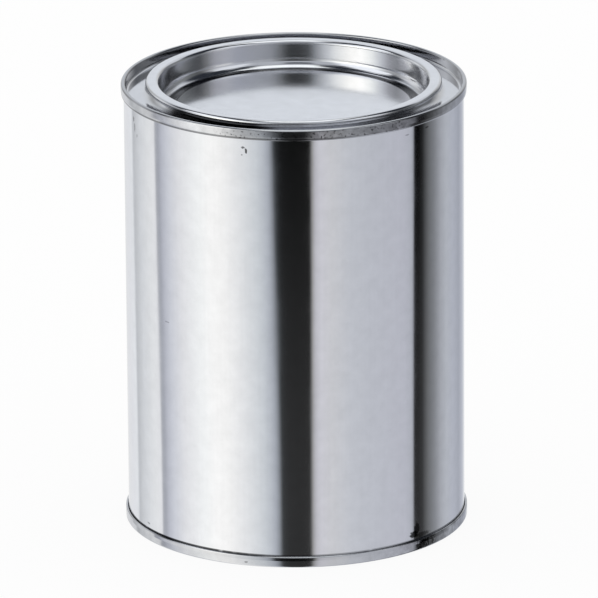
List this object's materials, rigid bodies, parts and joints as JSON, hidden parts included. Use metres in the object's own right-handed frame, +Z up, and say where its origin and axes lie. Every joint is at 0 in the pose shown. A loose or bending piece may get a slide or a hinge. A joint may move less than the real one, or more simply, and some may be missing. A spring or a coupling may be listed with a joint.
{
  "type": "lever-lid tin",
  "caption": "Round bare tinplate tin, shut with a lever lid that a blade under its rolled edge pries open; stands on its bottom seam.",
  "frame": {"origin": "centre of the base, on the surface that the bottom seam stands on", "axes": "+Z up along the can's axis; the welded side seam is at the back, +Y"},
  "size_m": [0.101, 0.101, 0.1336],
  "materials": {
    "body_tinplate": "bare bright tinplate with fine rolling lines",
    "end_tinplate": "bare bright tinplate, scuffed by the seaming rolls",
    "lid_tinplate": "bare bright tinplate"
  },
  "bodies": {
    "root": {"can_body": "body_tinplate", "bottom_end": "end_tinplate", "top_ring": "end_tinplate", "plug_lid": "lid_tinplate"}
  },
  "joints": []
}
